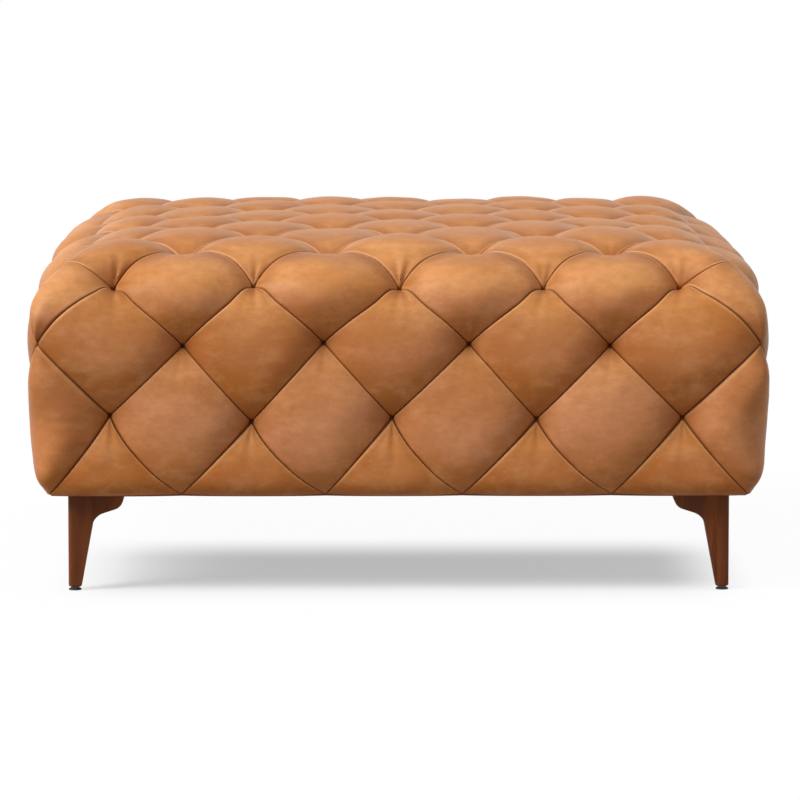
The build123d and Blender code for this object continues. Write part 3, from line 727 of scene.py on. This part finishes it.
def drill(piece, starts, directions, radius, length):
    """Cuts round holes through a piece, each from a start along a direction."""
    rods = []
    for start, direction in zip(starts, directions):
        bpy.ops.object.select_all(action="DESELECT")
        middle = Vector(start) + Vector(direction).normalized() * length / 2
        tilt = Vector(direction).to_track_quat("Z", "Y").to_euler()
        bpy.ops.mesh.primitive_cylinder_add(vertices=16, radius=radius, depth=length, location=middle,
                                            rotation=tilt)
        rods.append(bpy.context.object)
    for rod in rods:
        rod.select_set(True)
    bpy.context.view_layer.objects.active = rods[0]
    bpy.ops.object.join()
    cutter = bpy.context.object
    bpy.ops.object.select_all(action="DESELECT")
    piece.select_set(True)
    bpy.context.view_layer.objects.active = piece
    cut = piece.modifiers.new("holes", "BOOLEAN")
    cut.operation = "DIFFERENCE"
    cut.object = cutter
    cut.solver = "EXACT"
    cut.use_self = True
    bpy.ops.object.modifier_apply(modifier=cut.name)
    bpy.data.objects.remove(cutter)


def finish_foam(piece, node):
    bpy.ops.object.shade_smooth_by_angle(angle=math.radians(35))
    piece.data.materials.clear()
    piece.data.materials.append(foam_finish)
    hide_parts(node)
    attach(piece, "ottoman")
    print(piece.name, len(piece.data.polygons), "faces")


def chosen_edges(piece, wanted):
    """Selects the edges of a piece whose two ends both pass the test, and nothing else."""
    bpy.ops.object.mode_set(mode="EDIT")
    bpy.ops.mesh.select_all(action="DESELECT")
    bpy.ops.mesh.select_mode(type="EDGE")
    bpy.ops.object.mode_set(mode="OBJECT")
    for edge in piece.data.edges:
        edge.select = all(wanted(piece.data.vertices[end].co) for end in edge.vertices)
    bpy.ops.object.mode_set(mode="EDIT")


# %% Top foam pad
low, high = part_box("top_foam_pad")
top_foam = slab("top_foam_roll_edge", low, high)
chosen_edges(top_foam, lambda place: place.z > high[2] - 0.001)
bpy.ops.mesh.bevel(offset=0.0745, segments=8, profile=0.5, clamp_overlap=False)
bpy.ops.object.mode_set(mode="OBJECT")
starts = [(i * PITCH, j * PITCH, low[2] - 0.01) for i in range(-LAST, LAST + 1)
          for j in range(-LAST, LAST + 1) if (i + j) % 2]
directions = [(0, 0, 1)] * len(starts)
for quarter in range(4):
    for i in even_steps:
        starts.append(tuple(TURN[quarter] @ np.array([i * PITCH, -0.395, 0.322])))
        directions.append(tuple(TURN[quarter] @ np.array([0, -0.0185, 0.0485])))
drill(top_foam, starts, directions, HOLE_RADIUS, 0.11)
finish_foam(top_foam, "top_foam_pad")

# %% Side foam slabs
for quarter, side in enumerate(("front", "right", "rear", "left")):
    low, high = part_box(f"{side}_foam_pad")
    pad = slab(f"{side}_foam_slab", low, high)
    chosen_edges(pad, lambda place: True)
    bpy.ops.mesh.bevel(offset=0.003, segments=2, profile=0.5)
    bpy.ops.object.mode_set(mode="OBJECT")
    starts = [(i * PITCH, -0.40, 0.321) for i in odd_steps]
    starts += [(i * PITCH, -0.40, 0.226) for i in even_steps]
    starts = [tuple(TURN[quarter] @ np.array(start)) for start in starts]
    outwards = tuple(TURN[quarter] @ np.array([0, -1.0, 0]))
    drill(pad, starts, [outwards] * len(starts), HOLE_RADIUS, 0.06)
    finish_foam(pad, f"{side}_foam_pad")

# %% [markdown]
# ## The dust cloth
# A black cloth is stapled under the frame and cut out round the legs. It is a plane, cut through at
# the legs' lines, with the corner squares taken out, subdivided so that it can sag a little between
# its staples, and given its thickness.

# %% Dust cloth
low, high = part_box("dust_cover")
bpy.ops.object.select_all(action="DESELECT")
bpy.ops.mesh.primitive_grid_add(x_subdivisions=1, y_subdivisions=1, size=high[0] - low[0],
                                location=(0, 0, high[2] - 0.0002))
cloth = bpy.context.object
cloth.name = "dust_cloth_under_frame"
bpy.ops.object.transform_apply(location=True, rotation=False, scale=True)
LEG_LINE = 0.3567
SAG = 0.0025
bpy.ops.object.mode_set(mode="EDIT")
for normal in ((1, 0, 0), (0, 1, 0)):
    for side in (-LEG_LINE, LEG_LINE):
        bpy.ops.mesh.select_all(action="SELECT")
        bpy.ops.mesh.bisect(plane_co=[side * part for part in normal], plane_no=normal)
bpy.ops.mesh.select_all(action="DESELECT")
bpy.ops.mesh.select_mode(type="FACE")
bpy.ops.object.mode_set(mode="OBJECT")
for face in cloth.data.polygons:
    face.select = min(abs(face.center.x), abs(face.center.y)) > LEG_LINE
bpy.ops.object.mode_set(mode="EDIT")
bpy.ops.mesh.delete(type="FACE")
bpy.ops.mesh.select_all(action="SELECT")
for cuts in (7, 5):
    bpy.ops.mesh.subdivide(number_cuts=cuts)
bpy.ops.object.mode_set(mode="OBJECT")
half = high[0]
for point in cloth.data.vertices:
    inwards = (1 - (point.co.x / half) ** 2) * (1 - (point.co.y / half) ** 2)
    ripple = noise.noise(point.co * 9)
    point.co.z -= SAG * max(inwards, 0) ** 0.5 * (1 + 0.4 * ripple)
thick = cloth.modifiers.new("cloth", "SOLIDIFY")
thick.thickness = 0.0006
thick.offset = -1
bpy.ops.object.modifier_apply(modifier=thick.name)
bpy.ops.object.shade_smooth_by_angle(angle=math.radians(35))
cloth.data.materials.clear()
cloth.data.materials.append(dust_cloth)
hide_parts("dust_cover")
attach(cloth, "ottoman")
print("dust cloth:", len(cloth.data.polygons), "faces")

# %% [markdown]
# ## Studio
# The photograph has a white ground with a soft grey shadow under the front half of the table. The
# floor is a big pale plane. What the camera and the gloss see of it is partly its own lit colour and
# partly plain white. The white holds nearly everywhere, and only gives way in a soft band where the
# photograph keeps its shadow. The light that the floor gives back to the leather is that of a grey
# floor. The sky is an even white. A broad sun at the upper left shapes the puffs, and a weak one stands
# overhead.

# %% Rays that see the white ground
def background_rays(tree):
    """1 for rays that show the background: from the camera, mirrored in gloss, or through glass."""
    path = add_node(tree, "ShaderNodeLightPath")
    total = path.outputs["Is Camera Ray"]
    for kind in ("Is Glossy Ray", "Is Transmission Ray"):
        either = add_node(tree, "ShaderNodeMath", {"operation": "MAXIMUM"})
        fill(tree, either.inputs[0], total)
        fill(tree, either.inputs[1], path.outputs[kind])
        total = either.outputs["Value"]
    return total


# %% Floor
bpy.ops.object.select_all(action="DESELECT")
bpy.ops.mesh.primitive_plane_add(size=200, location=(0, 0, 0))
floor = bpy.context.object
floor.name = "studio_floor"
material, tree, shader = new_material("pale_studio_floor")
seen = background_rays(tree)
fill(tree, shader.inputs["Base Color"], mix(tree, seen, (0.45, 0.45, 0.45), (0.97, 0.97, 0.97)))
shader.inputs["Roughness"].default_value = 0.9
shader.inputs["Specular IOR Level"].default_value = 0.0
white = add_node(tree, "ShaderNodeEmission", Color=(1, 1, 1, 1), Strength=1.0)
blend_white = add_node(tree, "ShaderNodeMixShader")
parted = add_node(tree, "ShaderNodeSeparateXYZ",
                  Vector=add_node(tree, "ShaderNodeTexCoord").outputs["Object"])
SHADOW_BAND = (("X", 0.0, 0.34, 0.48), ("Y", -0.255, 0.10, 0.34))
WHITE_OUTSIDE, WHITE_IN_SHADOW = 0.965, 0.47
deep = None
for side, middle, low, high in SHADOW_BAND:
    away = add_node(tree, "ShaderNodeMath", {"operation": "SUBTRACT"})
    fill(tree, away.inputs[0], parted.outputs[side])
    fill(tree, away.inputs[1], middle)
    distance = add_node(tree, "ShaderNodeMath", {"operation": "ABSOLUTE"})
    fill(tree, distance.inputs[0], away.outputs["Value"])
    share = add_node(tree, "ShaderNodeMapRange", {"interpolation_type": "SMOOTHSTEP"},
                     Value=distance.outputs["Value"], From_Min=low, From_Max=high, To_Min=1.0,
                     To_Max=0.0)
    if deep is None:
        deep = share.outputs["Result"]
    else:
        both = add_node(tree, "ShaderNodeMath", {"operation": "MULTIPLY"})
        fill(tree, both.inputs[0], deep)
        fill(tree, both.inputs[1], share.outputs["Result"])
        deep = both.outputs["Value"]
whiteness = add_node(tree, "ShaderNodeMath", {"operation": "MULTIPLY"})
fill(tree, whiteness.inputs[0], seen)
fill(tree, whiteness.inputs[1], scaled(tree, deep, 0, 1, WHITE_OUTSIDE, WHITE_IN_SHADOW))
fill(tree, blend_white.inputs[0], whiteness.outputs["Value"])
fill(tree, blend_white.inputs[1], shader.outputs["BSDF"])
fill(tree, blend_white.inputs[2], white.outputs["Emission"])
fill(tree, tree.nodes["Material Output"].inputs["Surface"], blend_white.outputs["Shader"])
floor.data.materials.append(material)

# %% Sky
world = bpy.data.worlds.new("studio_sky")
bpy.context.scene.world = world
world.use_nodes = True
tree = world.node_tree
sky = tree.nodes["Background"]
sky.inputs["Color"].default_value = (1, 1, 1, 1)
fill(tree, sky.inputs["Strength"], scaled(tree, background_rays(tree), 0, 1, 0.31, 1.0))

# %% Suns
def soft_sun(name, towards, strength, spread):
    bpy.ops.object.light_add(type="SUN", location=towards)
    sun = bpy.context.object
    sun.name = name
    sun.data.energy = strength
    sun.data.angle = math.radians(spread)
    sun.rotation_euler = Vector(towards).to_track_quat("Z", "Y").to_euler()
    return sun


key = soft_sun("upper_left_sun", (-3.4, -1.8, 3.1), 2.8, 32)
overhead = soft_sun("overhead_sun", (-0.2, 0.0, 4.0), 0.45, 70)
bpy.context.scene.view_settings.view_transform = "Standard"
print("suns:", key.data.energy, "and", overhead.data.energy)

# %% [markdown]
# ## Finish
# The visual model must stay in the CAD model's box, apart from a little that leather may stand proud.

# %% Finish
bpy.context.view_layer.update()
